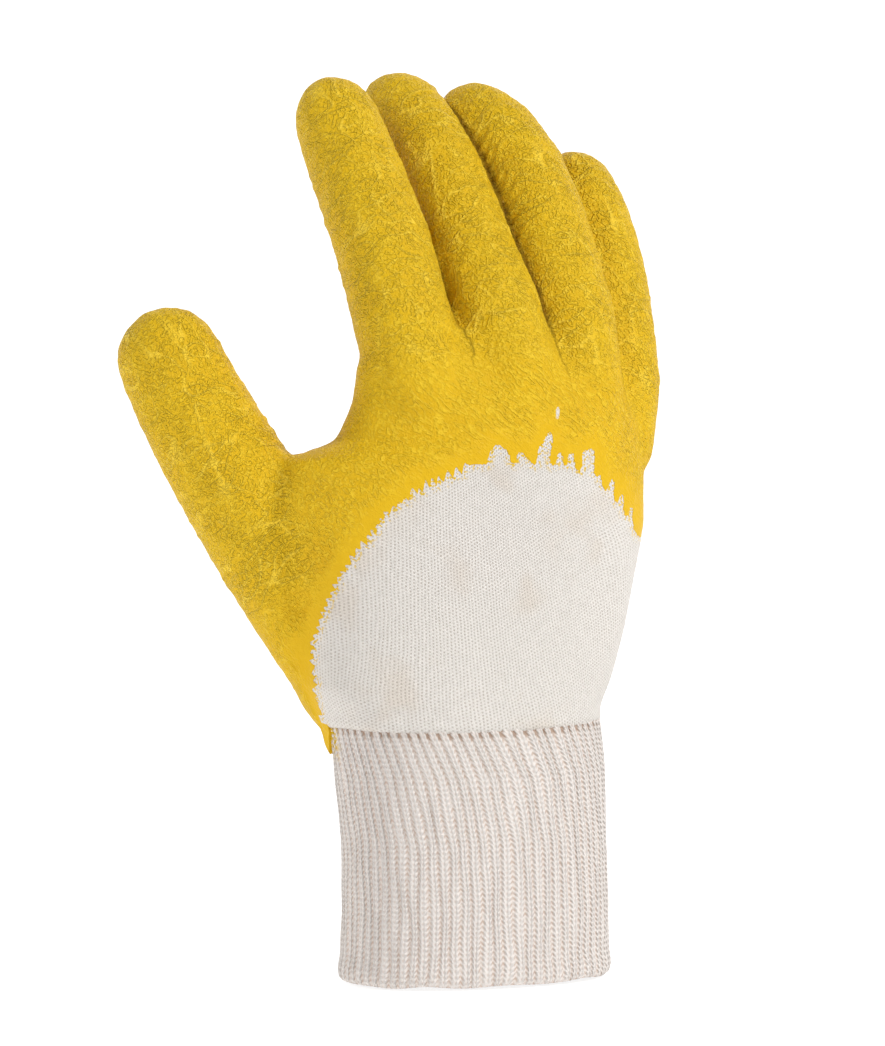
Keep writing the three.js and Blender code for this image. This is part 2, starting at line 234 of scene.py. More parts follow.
class GloveSizes(bpy.types.PropertyGroup):
    detail: bpy.props.FloatProperty(
        name="Surface detail", description="Edge length of the hand's surface mesh",
        default=0.00097, min=0.0005, max=0.003, unit="LENGTH", precision=5)
    wall: bpy.props.FloatProperty(
        name="Coated wall", description="Thickness of the latex and its liner together",
        default=0.0017, min=0.001, max=0.003, unit="LENGTH", precision=5)
    latex_layer: bpy.props.FloatProperty(
        name="Latex layer", description="How far the latex stands above the bare jersey",
        default=0.0004, min=0.0001, max=0.001, unit="LENGTH", precision=5)
    arc_height: bpy.props.FloatProperty(
        name="Crinkle arcs", description="Height of the arc-shaped ridges across the digits",
        default=0.00026, min=0.0, max=0.001, unit="LENGTH", precision=5)
    rib_count: bpy.props.IntProperty(
        name="Ribs", description="Number of ribs round the cuff", default=72, min=24, max=120)
    rib_depth: bpy.props.FloatProperty(
        name="Rib depth", description="Depth of the valleys between the ribs",
        default=0.0005, min=0.0, max=0.002, unit="LENGTH", precision=5)
    cuff_wall: bpy.props.FloatProperty(
        name="Cuff wall", description="Thickness of the rib knit",
        default=0.002, min=0.001, max=0.003, unit="LENGTH", precision=5)


class GloveColours(bpy.types.PropertyGroup):
    latex: bpy.props.FloatVectorProperty(
        name="Latex", description="Colour of the latex", subtype="COLOR",
        default=(0.735, 0.475, 0.010), **RGB)
    # Painted shade: the latex's colour in its creases and hollows, also used as a uniform darker tone on
    # the smooth latex by the window and in random blotches.
    latex_shade_and_tone: bpy.props.FloatVectorProperty(
        name="Latex in creases", description="Colour of the latex in its creases", subtype="COLOR",
        default=(0.62, 0.315, 0.002), **RGB)
    # Painted highlight: the lighter colour laid on the latex's ridges and arcs.
    latex_ridge_highlight: bpy.props.FloatVectorProperty(
        name="Latex on ridges", description="Colour of the latex on its ridges", subtype="COLOR",
        default=(0.97, 0.68, 0.055), **RGB)
    # Painted shade: the dark colour laid deep in the grooves between the fingers.
    latex_groove_shade: bpy.props.FloatVectorProperty(
        name="Latex between fingers", description="Colour of the latex deep between two fingers",
        subtype="COLOR", default=(0.22, 0.10, 0.001), **RGB)
    cotton: bpy.props.FloatVectorProperty(
        name="Cotton", description="Colour of the bare jersey and the ribs", subtype="COLOR",
        default=(0.775, 0.735, 0.69), **RGB)
    # Painted shade: the colour laid in the valleys and eyelets between the ribs.
    cotton_valley_shade: bpy.props.FloatVectorProperty(
        name="Cotton in valleys", description="Colour of the valleys between the ribs", subtype="COLOR",
        default=(0.56, 0.42, 0.34), **RGB)
    cotton_rib: bpy.props.FloatVectorProperty(
        name="Cotton of the ribs", description="Colour of the cuff's strands", subtype="COLOR",
        default=(0.83, 0.78, 0.74), **RGB)
    cotton_grey: bpy.props.FloatVectorProperty(
        name="Cotton fuzz", description="Greyer shade of the yarn", subtype="COLOR",
        default=(0.60, 0.565, 0.52), **RGB)
    # Painted shade: the dark colour laid in the jersey's holes.
    cotton_hole_shade: bpy.props.FloatVectorProperty(
        name="Jersey holes", description="Colour in the jersey's holes", subtype="COLOR",
        default=(0.46, 0.39, 0.33), **RGB)
    cotton_stain: bpy.props.FloatVectorProperty(
        name="Cotton stain", description="Colour of the faint stains on the jersey", subtype="COLOR",
        default=(0.62, 0.50, 0.38), **RGB)
    # Painted shadow: the dark colour laid between the ribs under the jersey's edge at the seam.
    cotton_seam_shadow: bpy.props.FloatVectorProperty(
        name="Gap at the seam", description="Colour between the ribs right below the seam", subtype="COLOR",
        default=(0.20, 0.11, 0.055), **RGB)
    paper: bpy.props.FloatVectorProperty(
        name="Floor", description="Colour of the floor and backdrop", subtype="COLOR",
        default=(0.45, 0.45, 0.45), **RGB)


# Shader expressions

class Value:
    """A number socket of a shader. Sums and products of values add Math nodes."""

    def __init__(self, shader, socket):
        self.shader = shader
        self.socket = socket

    def _math(self, operation, *others):
        return self.shader.math(operation, self, *others)

    def __add__(self, other):
        return self._math("ADD", other)

    __radd__ = __add__

    def __sub__(self, other):
        return self._math("SUBTRACT", other)

    def __rsub__(self, other):
        return self.shader.math("SUBTRACT", other, self)

    def __mul__(self, other):
        return self._math("MULTIPLY", other)

    __rmul__ = __mul__

    def __truediv__(self, other):
        return self._math("DIVIDE", other)

    def __abs__(self):
        return self._math("ABSOLUTE")

    def fract(self):
        return self._math("FRACT")

    def floor(self):
        return self._math("FLOOR")

    def cosine(self):
        return self._math("COSINE")

    def least(self, other):
        return self._math("MINIMUM", other)

    def most(self, other):
        return self._math("MAXIMUM", other)

    def rise(self, low, high):
        """0 up to low and 1 from high on, with a smooth step between them."""
        return self.shader.node(
            "ShaderNodeMapRange", {"interpolation_type": "SMOOTHSTEP"},
            {"Value": self, "From Min": low, "From Max": high}, out="Result")

    def ridge(self, width):
        """1 where the value is a half, falling to 0 at that distance from it."""
        return 1.0 - abs(self - 0.5).rise(0.0, width)


class Shader:
    """One material, whose nodes are added by expressions."""

    def __init__(self, name, **surface):
        self.material = bpy.data.materials.new(name)
        self.material.use_nodes = True
        self.tree = self.material.node_tree
        self.tree.nodes.clear()
        self.surface = self.tree.nodes.new("ShaderNodeBsdfPrincipled")
        output = self.tree.nodes.new("ShaderNodeOutputMaterial")
        self.tree.links.new(self.surface.outputs["BSDF"], output.inputs["Surface"])
        for socket, value in surface.items():
            self.surface.inputs[socket.replace("_", " ")].default_value = value

    def plug(self, socket, value):
        if isinstance(value, Value):
            self.tree.links.new(value.socket, socket)
        elif isinstance(value, bpy.types.NodeSocket):
            self.tree.links.new(value, socket)
        elif hasattr(value, "__len__") and socket.type == "RGBA":
            socket.default_value = (*value[:3], 1.0)
        else:
            socket.default_value = value

    def node(self, kind, settings=None, values=None, out=0):
        """Adds a node. Settings are set first, then the sockets' values or links."""
        made = self.tree.nodes.new(kind)
        for name, setting in (settings or {}).items():
            setattr(made, name, setting)
        for name, value in (values or {}).items():
            self.plug(made.inputs[name], value)
        socket = made.outputs[out]
        return Value(self, socket) if socket.type == "VALUE" else socket

    def math(self, operation, *terms):
        return self.node("ShaderNodeMath", {"operation": operation}, dict(enumerate(terms)))

    def position(self):
        """The point in millimetres."""
        point = self.node("ShaderNodeTexCoord", out="Object")
        return self.node("ShaderNodeVectorMath", {"operation": "SCALE"}, {0: point, "Scale": 1 / MM})

    def attribute(self, name):
        return self.node("ShaderNodeAttribute", {"attribute_name": name}, out="Fac")

    def parts(self, vector):
        split = self.node("ShaderNodeSeparateXYZ", values={0: vector}).socket.node
        return [Value(self, socket) for socket in split.outputs]

    def vector(self, x, y, z=0.0):
        return self.node("ShaderNodeCombineXYZ", values={0: x, 1: y, 2: z})

    def stretch(self, vector, turn=(0, 0, 0), scale=(1, 1, 1)):
        """The vector in axes turned by these angles, then scaled along them."""
        turned = self.node(
            "ShaderNodeMapping", {"vector_type": "POINT"}, {"Vector": vector, "Rotation": turn})
        return self.node("ShaderNodeVectorMath", {"operation": "MULTIPLY"}, {0: turned, 1: scale})

    def noise(self, vector, scale, detail=2.0, roughness=0.5):
        return self.node("ShaderNodeTexNoise", values={
            "Vector": vector, "Scale": scale, "Detail": detail, "Roughness": roughness}, out=0)

    def waves(self, value, count):
        """Ridges along the level lines of a value, with that many between its 0 and 1."""
        return 0.5 + 0.5 * (value * (2 * math.pi * count)).cosine()

    def stitches(self, across, up):
        """Plain knit: height and holes, from across and up counted in wales and courses."""
        side = abs(across.fract() - 0.5)
        shift = (across.floor() * 0.5).fract()
        row = (up + shift).fract() - 0.5
        hole = 1.0 - (side * side * 7.0 + row * row * 6.0).rise(0.05, 0.75)
        legs = self.waves(up + shift - side, 1)
        return side * 0.8 + legs * 0.5, hole

    def mix(self, factor, low, high):
        return self.node("ShaderNodeMix", {"data_type": "RGBA"}, {0: factor, 6: low, 7: high}, out=2)

    def bump(self, height, strength=1.0):
        """A height in millimetres."""
        normal = self.node("ShaderNodeBump", values={
            "Strength": strength, "Distance": MM, "Height": height}, out="Normal")
        self.plug(self.surface.inputs["Normal"], normal)

    def colour(self, value):
        self.plug(self.surface.inputs["Base Color"], value)

    def roughness(self, value):
        self.plug(self.surface.inputs["Roughness"], value)


def latex_material(colours):
    """Matte latex: a labyrinth of fine ridges, arcs across the digits and streaks on the back, with painted
    shade in its creases, hollows and between the fingers, and painted highlights on its ridges.
    """
    shader = Shader("latex", IOR=1.45, Specular_IOR_Level=0.18)
    point = shader.position()
    digit = shader.attribute("digit")
    rough = shader.attribute("rough")
    labyrinth = shader.waves(shader.noise(point, 0.60, 1.0), 3.5)
    labyrinth = labyrinth * labyrinth
    small = shader.waves(shader.noise(point, 1.25, 0.0), 2.4)
    slanted = shader.stretch(point, (0, math.radians(-38), 0), (0.34, 1.0, 1.0))
    streaks = shader.waves(shader.noise(slanted, 0.70, 1.0), 3.4)
    streaks = streaks * streaks
    along = shader.attribute("along")
    side = shader.attribute("side")
    patchy = shader.noise(point, 0.12, 0.0)
    bend = patchy * 9.0
    patchy = patchy.rise(0.3, 0.62)
    arcs = shader.noise(shader.vector((along + bend) * 0.17, side * 0.05), 1.0, 0.0).ridge(0.033)
    crossing = shader.vector((along + side * 0.8 - bend) * 0.14, (side - along * 0.2) * 0.06, 5.0)
    arcs = arcs.most(shader.noise(crossing, 1.0, 0.0).ridge(0.03) * 0.8)
    on_digit = labyrinth * (0.36 + 0.12 * patchy) + arcs * (0.35 + 0.65 * patchy) * 0.42
    on_back = streaks * (0.24 + 0.10 * patchy) + labyrinth * 0.09
    crinkle = on_digit * digit + on_back * (1.0 - digit) + small * 0.12
    grain = shader.noise(point, 3.0, 0.0) * 0.04
    shader.bump(crinkle * (0.06 + 0.94 * rough) + grain, 1.0)
    blotch = shader.noise(point, 0.06, 1.0).rise(0.35, 0.65)
    # Painted shade: low marks the valleys between the ridges and the streaks.
    low = (1.0 - labyrinth) * digit * 0.7 + (1.0 - streaks) * (1.0 - digit)
    # Painted shade in the valleys and hollows, plus a uniform darker tone on the smooth latex by the window
    # and random blotches.
    shade_and_tone = low * 0.26 * rough + (1.0 - rough) * 0.3 + shader.attribute("hollow_shade") * 0.28 + blotch * 0.08
    colour = shader.mix(shade_and_tone.least(1.0), colours.latex, colours.latex_shade_and_tone)
    # Painted highlight on the ridges and arcs of the crinkle.
    ridge_highlight = (labyrinth * 0.22 + arcs * (0.35 + 0.65 * patchy) * 0.6) * digit + streaks * (1.0 - digit) * 0.2
    colour = shader.mix(ridge_highlight * rough, colour, colours.latex_ridge_highlight)
    # Painted shade deep between two fingers.
    groove_shade = shader.attribute("groove_shade").rise(0.1, 0.95) * 0.8
    colour = shader.mix(groove_shade, colour, colours.latex_groove_shade)
    x, y, z = shader.parts(point)
    aside = x - MISSED[0] - (z - MISSED[1]) * 0.25
    missed = aside * aside * 1.6 + (z - MISSED[1]) * (z - MISSED[1]) * 0.28
    missed = (1.0 - (missed + small * 0.5).rise(0.5, 1.2)) * (1.0 - y.rise(-8.0, -6.0))
    shader.colour(shader.mix(missed * 0.9, colour, colours.cotton))
    shader.roughness(0.46 + 0.08 * small + 0.06 * rough)
    return shader.material


def jersey_material(colours):
    """Bare cotton jersey: wales that lean a little, rows of small holes darkened with painted shade, and
    faint stains.
    """
    shader = Shader("jersey", **COTTON_SURFACE)
    point = shader.position()
    wander = shader.noise(point, 0.09, 0.0) * 0.9 + shader.noise(point, 0.5, 0.0) * 0.35
    across = shader.attribute("across") / JERSEY_STITCH[0] + shader.attribute("up") * 0.11 + wander
    up = shader.attribute("up") / JERSEY_STITCH[1] + shader.noise(point, 0.3, 0.0) * 0.7
    height, hole = shader.stitches(across, up)
    yarn = shader.noise(shader.vector(across * 2.2, up * 0.25), 1.0, 2.0)
    fuzz = shader.noise(point, 2.4, 2.0, 0.7)
    shader.bump(height * 0.15 - hole * 0.13 + fuzz * 0.14, 1.0)
    stain = shader.noise(point, 0.045, 2.0, 0.6).rise(0.54, 0.72)
    base = shader.mix(yarn.rise(0.3, 0.75) * 0.35 + fuzz * 0.2, colours.cotton, colours.cotton_grey)
    base = shader.mix(stain * 0.3, base, colours.cotton_stain)
    # Painted shade in the jersey's holes.
    deep = hole * (0.2 + 0.75 * shader.noise(point, 0.7, 0.0))
    base = shader.mix(deep.least(1.0), base, colours.cotton_hole_shade)
    near = 1.0 - shader.attribute("edge").rise(0.2, 2.6)
    fleck = near * shader.noise(point, 1.1, 1.0).rise(0.54, 0.6)
    shader.colour(shader.mix(fleck, base, colours.latex))
    return shader.material


def rib_material(colours):
    """Rib knit: two strands of stitches on each rib, with painted shade in the valleys between the ribs and
    in the eyelets, and a painted shadow under the seam.
    """
    shader = Shader("rib_knit", **COTTON_SURFACE)
    point = shader.position()
    turn, up, _ = shader.parts(shader.node("ShaderNodeUVMap", {"uv_map": "knit"}))
    loose = shader.noise(shader.vector(turn.floor() * 3.7, up * 0.12), 1.0, 1.0)
    uneven = shader.noise(shader.vector(turn * 1.5, up * 0.8), 1.0, 2.0)
    away = abs(turn.fract() - 0.5)
    course = up / RIB_COURSE + loose * 1.5
    leg = shader.waves(course - away * 2.4, 1)
    spread = away + (leg - 0.5) * -0.07 + (uneven - 0.5) * 0.10
    strand = 1.0 - (abs(spread - 0.18) / 0.16).least(1.0)
    valley = spread.rise(0.27, 0.40)
    eyelet = (1.0 - away.rise(0.03, 0.12)) * (1.0 - leg)
    fuzz = shader.noise(point, 2.2, 2.0, 0.7)
    height = strand * (0.16 + 0.30 * leg) - valley * (0.12 + 0.12 * (1.0 - leg)) - eyelet * 0.14
    shader.bump(height + fuzz * 0.14, 1.0)
    shadow = 1.0 - shader.attribute("seam").rise(0.1, 1.6)
    dip = shader.waves(course - away * 2.4 + 0.35, 1)
    # Painted shade in the valleys, the eyelets and the low parts of the strands, plus the painted shadow
    # under the seam.
    depth = valley * (0.2 + 0.7 * dip * uneven.rise(0.25, 0.6)) + eyelet * 0.42
    depth = depth + strand * (1.0 - leg) * 0.16 + shadow * (0.1 + valley * 0.5)
    base = shader.mix(fuzz * 0.2, colours.cotton_rib, colours.cotton_grey)
    base = shader.mix(depth.least(1.0), base, colours.cotton_valley_shade)
    # Painted shadow between the ribs under the jersey's edge.
    base = shader.mix((shadow * valley * 0.36).least(1.0), base, colours.cotton_seam_shadow)
    stained = shader.attribute("latex_stain") * shader.noise(point, 0.9, 2.0).rise(0.46, 0.52)
    shader.colour(shader.mix(stained, base, colours.latex))
    return shader.material


def lining_material(colours):
    """The inside of the coated jersey, white with rows of stitches, with painted shade in their holes."""
    shader = Shader("lining", Roughness=0.95, IOR=1.4, Specular_IOR_Level=0.2)
    point = shader.position()
    x, y, z = shader.parts(point)
    height, hole = shader.stitches((x + y) / LINING_STITCH[0], z / LINING_STITCH[1])
    fuzz = shader.noise(point, 2.0, 2.0)
    shader.bump(height * 0.15 + fuzz * 0.08, 1.0)
    # Painted shade in the stitches' holes, with the fuzz as uneven tone.
    shader.colour(shader.mix(hole * 0.5 + fuzz * 0.2, colours.cotton, (0.5, 0.44, 0.38)))
    return shader.material


def floor_material(colours):
    """Plain pale paper that glows by its own emission, brightly behind the glove and less before it."""
    shader = Shader("paper", Roughness=0.95, Specular_IOR_Level=0.05)
    x, y, _ = shader.parts(shader.position())
    fibre = shader.noise(shader.position(), 0.02, 2.0)
    shader.colour(shader.mix(fibre * 0.04, colours.paper, colours.cotton_grey))
    # Painted light: the paper's emission, stronger behind the glove, lights the backdrop and the glove.
    behind = (y - x * 0.45).rise(-2400.0, 300.0)
    glow = 0.20 + 0.64 * behind
    shader.plug(shader.surface.inputs["Emission Color"], shader.mix(glow, (0, 0, 0), (1, 1, 1)))
    shader.surface.inputs["Emission Strength"].default_value = 1.0
    return shader.material


# Modelling helpers

@contextlib.contextmanager
def mesh_of(piece):
    """The piece's mesh, open for changes that are kept at the end."""
    bm = bmesh.new()
    bm.from_mesh(piece.data)
    yield bm
    bm.to_mesh(piece.data)
    bm.free()


def pick(piece):
    """Selects this piece alone and makes it active."""
    if bpy.context.object and bpy.context.object.mode != "OBJECT":
        bpy.ops.object.mode_set(mode="OBJECT")
    bpy.ops.object.select_all(action="DESELECT")
    piece.hide_set(False)
    piece.select_set(True)
    bpy.context.view_layer.objects.active = piece


def edit(piece, *steps):
    """Runs edit-mode operators on all of the piece, each a function that takes nothing."""
    pick(piece)
    bpy.ops.object.mode_set(mode="EDIT")
    bpy.ops.mesh.select_mode(type="VERT")
    bpy.ops.mesh.select_all(action="SELECT")
    for step in steps:
        step()
    bpy.ops.object.mode_set(mode="OBJECT")


def modify(piece, kind, **settings):
    """Adds a modifier and applies it."""
    pick(piece)
    made = piece.modifiers.new(kind.lower(), kind)
    for name, setting in settings.items():
        setattr(made, name, setting)
    bpy.ops.object.modifier_apply(modifier=made.name)


def points_of(piece):
    """The piece's vertices in millimetres."""
    flat = np.empty(len(piece.data.vertices) * 3, np.float32)
    piece.data.vertices.foreach_get("co", flat)
    return flat.reshape(-1, 3).astype(float) / MM


def place(piece, points):
    piece.data.vertices.foreach_set("co", (points * MM).astype(np.float32).ravel())
    piece.data.update()


def normals_of(piece):
    flat = np.empty(len(piece.data.vertices) * 3, np.float32)
    piece.data.vertices.foreach_get("normal", flat)
    return flat.reshape(-1, 3).astype(float)


def store(piece, name, values):
    """Keeps one number for each vertex."""
    made = piece.data.attributes.new(name, "FLOAT", "POINT")
    made.data.foreach_set("value", np.asarray(values, np.float32))


def dress(piece, *materials):
    """Gives the piece these materials and no others."""
    piece.data.materials.clear()
    for material in materials:
        piece.data.materials.append(material)


def duplicate(piece, name):
    made = bpy.data.objects.new(name, piece.data.copy())
    bpy.context.scene.collection.objects.link(made)
    return made


def remove(piece):
    bpy.data.objects.remove(piece)


def rise(values, low, high):
    """A smooth step from 0 at low to 1 at high."""
    share = np.clip((np.asarray(values, float) - low) / (high - low), 0, 1)
    return share * share * (3 - 2 * share)


def speckle(points, size, offset=0.0):
    """Noise from -1 to 1 whose lumps are about that many millimetres."""
    return np.array([noise.noise((x / size + offset, y / size, z / size)) for x, y, z in points])


def new_mesh(name, vertices, faces):
    mesh = bpy.data.meshes.new(name)
    mesh.from_pydata([tuple(v) for v in vertices], [], faces)
    piece = bpy.data.objects.new(name, mesh)
    bpy.context.scene.collection.objects.link(piece)
    return piece


# The hand's form

def resample(points, step):
    """Points at even steps along a line through these points."""
    points = np.asarray(points, float)
    lengths = np.concatenate([[0], np.cumsum(np.linalg.norm(np.diff(points, axis=0), axis=1))])
    stations = np.linspace(0, lengths[-1], max(2, round(lengths[-1] / step)))
    return np.stack([np.interp(stations, lengths, points[:, k]) for k in range(points.shape[1])], 1)


def window_border():
    """The torn border from the cuff by the thumb, over the back and down to the far side."""
    draw = random.Random(11)
    step = TEAR["step"]
    left = resample(BORDER_LEFT, step)
    slope = np.gradient(left, axis=0)
    slope /= np.linalg.norm(slope, axis=1)[:, None]
    outward = np.stack([-slope[:, 1], slope[:, 0]], 1)
    upright = rise(slope[:, 0], 0.45, 0.85)[:, None]
    lean = outward * (1 - upright) + np.array([-0.12, 1.0]) * upright
    knots = [0.0]
    reach = [0.0]
    high = True
    while knots[-1] < len(left) * step:
        knots.append(knots[-1] + draw.uniform(*TEAR["pitch"]))
        reach.append(draw.uniform(*TEAR["out"]) if high else -draw.uniform(*TEAR["in"]))
        high = not high
    along = np.arange(len(left)) * step
    tear = np.interp(along, knots, reach) * (0.85 + 0.5 * upright[:, 0])
    fray = TEAR["fray"]
    tear += np.array([draw.uniform(-fray, fray) for _ in along])
    left = left + lean * tear[:, None]
    right = resample(BORDER_TEETH, step)
    fray = TEAR["finger_fray"]
    right += np.array([[draw.uniform(-fray, fray), draw.uniform(-fray, fray)] for _ in right])
    return np.concatenate([left, right])


def seam_height(across):
    """Height of the seam between jersey and cuff: it dips on the middle of the back."""
    return SEAM_HEIGHT - SEAM_DIP * (1 - np.clip(np.abs(across + 2) / SEAM_HALF, 0, 1) ** 2)


def window_side(across):
    """Where the window ends on the hand's sides, as far towards the palm as this, in millimetres."""
    thumb_side = rise(-across, SIDE_START, SIDE_START + 12.0)
    far_side = rise(across, SIDE_START, SIDE_START + 14.0)
    return WINDOW_SIDE + SIDE_EASE * thumb_side + FAR_EASE * far_side


def prism(name, outline, more=0.0):
    """A cutter with this outline, as it shows from the window's side, down to the hand's middle."""
    outline = np.asarray(outline, float)
    count = len(outline)
    up = np.array([0.0, 0.0, 1.0])
    base = outline[:, :1] * WINDOW_ACROSS + outline[:, 1:] * up
    front = base - 75.0 * WINDOW_DEEP
    side = window_side(outline[:, 0]) + more
    depth = (side + outline[:, 0] * math.sin(WINDOW_TURN)) / math.cos(WINDOW_TURN)
    back = base + depth[:, None] * WINDOW_DEEP
    sides = [(k, (k + 1) % count, count + (k + 1) % count, count + k) for k in range(count)]
    cutter = new_mesh(name, np.concatenate([front, back]) * MM, sides)
    with mesh_of(cutter) as bm:
        bmesh.ops.holes_fill(bm, edges=[e for e in bm.edges if e.is_boundary], sides=0)
        bmesh.ops.triangulate(bm, faces=[f for f in bm.faces if len(f.verts) > 4])
        bmesh.ops.recalc_face_normals(bm, faces=bm.faces)
    return cutter


def cut(piece, cutter, operation):
    """Cuts an outer surface and drops the faces that the cutter leaves on it."""
    for thing, material in ((piece, "kept"), (cutter, "cutter")):
        dress(thing, bpy.data.materials.get(material) or bpy.data.materials.new(material))
    modify(piece, "BOOLEAN", operation=operation, object=cutter, solver="EXACT",
           material_mode="TRANSFER")
    left = [k for k, m in enumerate(piece.data.materials) if m and m.name == "cutter"]
    with mesh_of(piece) as bm:
        bmesh.ops.delete(bm, geom=[f for f in bm.faces if f.material_index in left], context="FACES")
        bmesh.ops.dissolve_degenerate(bm, dist=0.02 * MM, edges=bm.edges)
    remove(cutter)


def biggest_part(piece):
    """Keeps the part of the mesh with the most vertices."""
    with mesh_of(piece) as bm:
        seen = set()
        best = []
        for start in bm.verts:
            if start in seen:
                continue
            part = [start]
            seen.add(start)
            for vertex in part:
                for e in vertex.link_edges:
                    other = e.other_vert(vertex)
                    if other not in seen:
                        seen.add(other)
                        part.append(other)
            if len(part) > len(best):
                best = part
        kept = set(best)
        bmesh.ops.delete(bm, geom=[v for v in bm.verts if v not in kept], context="VERTS")


def drop_shallow(piece, surface, depth):
    """Deletes the vertices that don't lie below the surface by this many millimetres."""
    with mesh_of(piece) as bm:
        shallow = []
        for vertex in bm.verts:
            spot, normal, _, away = surface.find_nearest(vertex.co)
            if away < depth * MM or (vertex.co - spot).dot(normal) > 0:
                shallow.append(vertex)
        bmesh.ops.delete(bm, geom=shallow, context="VERTS")


def hand_form(detail):
    """One smooth closed surface round the whole glove, from copies of its nodes and a filling."""
    bpy.ops.object.select_all(action="DESELECT")
    parts = []
    for name in ("latex_coating", "jersey_back", "rib_cuff"):
        copy = duplicate(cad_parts[name], "form_" + name)
        edit(copy, lambda: bpy.ops.mesh.remove_doubles(threshold=1e-5))
        place(copy, points_of(copy) + normals_of(copy) * COPY_SWELL)
        parts.append(copy)
    bpy.ops.mesh.primitive_cylinder_add(vertices=96, radius=1.0, depth=1.0)
    filling = bpy.context.object
    shape = points_of(filling) * MM
    end = (shape[:, 2] > 0).astype(int)
    width, shift, height = (np.array(FILLING[key])[end] for key in ("width", "shift", "height"))
    place(filling, np.stack([shape[:, 0] * width + shift, shape[:, 1] * FILLING["depth"], height], 1))
    filling.location = (0, 0, 0)
    parts.append(filling)
    for part in parts:
        dress(part)
    pick(parts[0])
    for part in parts:
        part.select_set(True)
    bpy.ops.object.join()
    form = parts[0]
    form.name = "hand_form"
    modify(form, "REMESH", mode="VOXEL", voxel_size=FIRST_VOXEL * MM)
    biggest_part(form)
    modify(form, "SMOOTH", factor=0.5, iterations=9)
    modify(form, "REMESH", mode="VOXEL", voxel_size=detail)
    modify(form, "SMOOTH", factor=0.5, iterations=8)
    points = points_of(form)
    up = points[:, 2]
    swell = THUMB_SWELL["height"] * np.exp(-((up - THUMB_SWELL["up"]) / THUMB_SWELL["reach"]) ** 2) * (
        rise(-points[:, 0], SIDE_START, SIDE_START + 12.0))
    swell += FAR_SWELL["height"] * rise(points[:, 0], SIDE_START, SIDE_START + 14.0) * (
        rise(up, *FAR_SWELL["start"]) * (1 - rise(up, *FAR_SWELL["stop"])))
    place(form, points + normals_of(form) * (swell - GROOVE["depth"] * groove_share(points))[:, None])
    modify(form, "SMOOTH", factor=0.5, iterations=1)
    return form


def line_distance(points, line):
    """Distance from each point to a line of straight stretches."""
    nearest = np.full(len(points), np.inf)
    for start, stop in zip(line[:-1], line[1:]):
        step = stop - start
        share = np.clip(((points - start) @ step) / max(step @ step, 1e-9), 0, 1)
        away = points - start - share[:, None] * step
        nearest = np.minimum(nearest, np.linalg.norm(away, axis=1))
    return nearest


def along_digits(points):
    """For each point: how much it is on a digit, the distance along it, the offset aside and which."""
    best = np.full(len(points), 1e9)
    length = np.zeros(len(points))
    aside = np.zeros(len(points))
    which = np.zeros(len(points), int)
    for number, line in enumerate(CENTRELINES.values()):
        line = np.asarray(line, float)
        travelled = 0.0
        for start, stop in zip(line[:-1], line[1:]):
            step = stop - start
            size = np.linalg.norm(step)
            axis = step / size
            share = np.clip((points - start) @ axis, 0, size)
            away = points - start - share[:, None] * axis
            distance = np.linalg.norm(away, axis=1)
            side = np.array([axis[2], 0.0, -axis[0]])
            side /= np.linalg.norm(side)
            nearer = distance < best
            best[nearer] = distance[nearer]
            length[nearer] = travelled + share[nearer]
            aside[nearer] = (away @ side)[nearer]
            which[nearer] = number
            travelled += size
    start = np.where(which == 4, 26.0, 2.0)
    weight = rise(length, start, start + 18.0) * (1 - rise(best, 19.0, 24.0))
    return weight, length, aside, which


def two_nearest_digits(points):
    """Distance in millimetres to the nearest finger's centreline and to the next one's."""
    reach = np.array([
        line_distance(points, resample(CENTRELINES[name], 2.0))
        for name in ("index", "middle", "ring", "little")])
    reach.sort(axis=0)
    return reach[0], reach[1]


def groove_share(points):
    """1 in the middle of the groove between two fingers, down to 0 on their sides."""
    nearest, second = two_nearest_digits(points)
    share = np.exp(-((second - nearest) / GROOVE["reach"]) ** 2) * (1 - rise(second, 19.0, 23.0))
    web = np.interp(points[:, 0], GROOVE["across"], GROOVE["web"])
    return share * rise(points[:, 2], web, web + GROOVE["rise"])


def border_distance(points, border):
    """Millimetres from the window's border, measured as it shows from its side."""
    flat = np.stack([points @ WINDOW_ACROSS, points[:, 2]], 1)
    far = 30.0
    nearest = np.full(len(points), far)
    side = window_side(flat[:, 0])
    near = (points[:, 1] < side + 4.0) & (points[:, 2] < 172.0)
    nearest[near] = np.minimum(line_distance(flat[near], border), far)
    top = border[border[:, 1] > 96.0]
    below = flat[:, 1] < np.interp(flat[:, 0], top[:, 0], top[:, 1]) + 2.0
    return np.where(below, np.minimum(nearest, np.abs(points[:, 1] - side)), nearest)


